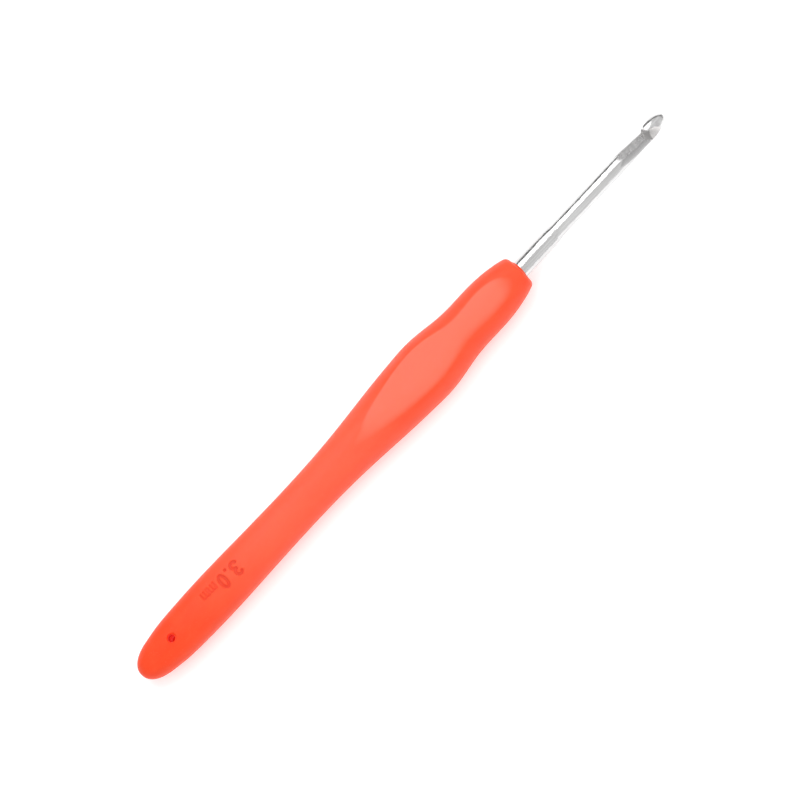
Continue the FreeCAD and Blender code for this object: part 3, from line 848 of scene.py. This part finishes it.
def floor_material():
    """Pale matt floor that glows a little, so that it stays nearly white beside the hook."""
    nodes = Nodes("pale_floor")
    grain = nodes.noise((0.02, 0.02, 0.02), 1.0, 3.0)
    colour = nodes.mix(nodes.ramp(grain, 0.3, 0.7), (0.93, 0.93, 0.93, 1), (0.96, 0.96, 0.96, 1))
    nodes.put(nodes.shader, Base_Color=colour, Roughness=0.9, Emission_Color=(1, 1, 1, 1),
              Emission_Strength=0.2)
    return nodes.material


# ------------------------------------------------------------------ studio

VIEW_TILT = math.radians(12)
SHAFT_ANGLE = math.radians(46.98)
VIEW_ALONG = -1.0
VIEW_BELOW = 0.15
VIEW_WIDTH = 146.3
CAMERA_DISTANCE = 700.0
SENSOR_WIDTH = 36
ROOM_LIGHT = 0.85
HORIZON_LIGHT = 0.15
FLOOR_HALF = 1500

# Area lights: name, place in metres, width, height, power in watts, and whether reflections show them.
LIGHTS = (
    ("key", (0.08, 0.32, 0.51), 0.32, 0.5, 1.3, True),
    ("near_end", (-0.5, -0.1, 0.75), 0.5, 0.5, 0.945, False),
    ("far_end", (0.5, -0.1, 0.75), 0.5, 0.5, 1.755, False),
)


def build_camera():
    """Looks down on the front panel, with the hook running up to the right across the picture."""
    towards_camera = Vector((0, -math.sin(VIEW_TILT), math.cos(VIEW_TILT)))
    hook = Vector((1, 0, 0))
    left_of_hook = towards_camera.cross(hook)
    right = hook * math.cos(SHAFT_ANGLE) - left_of_hook * math.sin(SHAFT_ANGLE)
    up = hook * math.sin(SHAFT_ANGLE) + left_of_hook * math.cos(SHAFT_ANGLE)
    target = (Vector((VIEW_ALONG, 0, AXIS_Z)) - left_of_hook * VIEW_BELOW) * MM
    turn = Matrix((right, up, towards_camera)).transposed().to_4x4()
    camera_data = bpy.data.cameras.new("camera")
    camera_data.sensor_width = SENSOR_WIDTH
    camera_data.lens = SENSOR_WIDTH * CAMERA_DISTANCE / VIEW_WIDTH
    camera = bpy.data.objects.new("camera", camera_data)
    bpy.context.scene.collection.objects.link(camera)
    camera.matrix_world = Matrix.Translation(target + towards_camera * CAMERA_DISTANCE * MM) @ turn
    bpy.context.scene.camera = camera


def area_light(name, place, width, height, power, reflected):
    """Rectangular light that looks at the row's origin, below the middle of the hook."""
    light = bpy.data.lights.new(name, "AREA")
    light.shape = "RECTANGLE"
    light.size = width
    light.size_y = height
    light.energy = power
    lamp = bpy.data.objects.new(name, light)
    bpy.context.scene.collection.objects.link(lamp)
    place = Vector(place)
    turn = place.to_track_quat("Z", "Y").to_matrix().to_4x4()
    lamp.matrix_world = Matrix.Translation(place) @ turn
    lamp.visible_glossy = reflected


def build_world():
    """Soft grey room, darker low down; the camera itself sees plain white behind the floor."""
    world = bpy.data.worlds.new("studio")
    bpy.context.scene.world = world
    world.use_nodes = True
    tree = world.node_tree

    def add(kind, **inputs):
        node = tree.nodes.new(kind)
        for name, value in inputs.items():
            socket = node.inputs[name.replace("_", " ")]
            if hasattr(value, "is_output"):
                tree.links.new(value, socket)
            else:
                socket.default_value = value
        return node

    direction = add("ShaderNodeTexCoord").outputs["Generated"]
    rise = add("ShaderNodeVectorMath", Vector=direction)
    rise.operation = "DOT_PRODUCT"
    rise.inputs[1].default_value = (0, -0.25, 1)
    room = add("ShaderNodeMapRange", Value=rise.outputs["Value"], From_Min=0.1, From_Max=0.36,
               To_Min=HORIZON_LIGHT, To_Max=ROOM_LIGHT)
    room.interpolation_type = "SMOOTHSTEP"
    path = add("ShaderNodeLightPath")
    seen = add("ShaderNodeMix", Factor=path.outputs["Is Camera Ray"], A=room.outputs["Result"], B=1.0)
    background = tree.nodes["Background"]
    background.inputs["Color"].default_value = (1, 1, 1, 1)
    tree.links.new(seen.outputs["Result"], background.inputs["Strength"])


def build_studio():
    """Room, floor and lights."""
    bpy.context.scene.view_settings.view_transform = "Standard"
    build_world()
    half = FLOOR_HALF
    points = [(-half, -half, 0), (half, -half, 0), (half, half, 0), (-half, half, 0)]
    floor = mesh_object("floor", points, [(0, 1, 2, 3)], smooth=False)
    floor.data.materials.append(floor_material())
    for light in LIGHTS:
        area_light(*light)


# ------------------------------------------------------------------ assembly

shaft = build_shaft()
shaft.data.materials.append(aluminium_material())
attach(shaft, "root")
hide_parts("hook_shaft")

grip = build_grip()
grip.data.materials.append(rubber_material())
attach(grip, "root")
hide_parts("soft_grip")

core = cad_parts["handle_core"]
core_finish = core_material()
for material_slot in core.material_slots:
    material_slot.material = core_finish

build_camera()
build_studio()
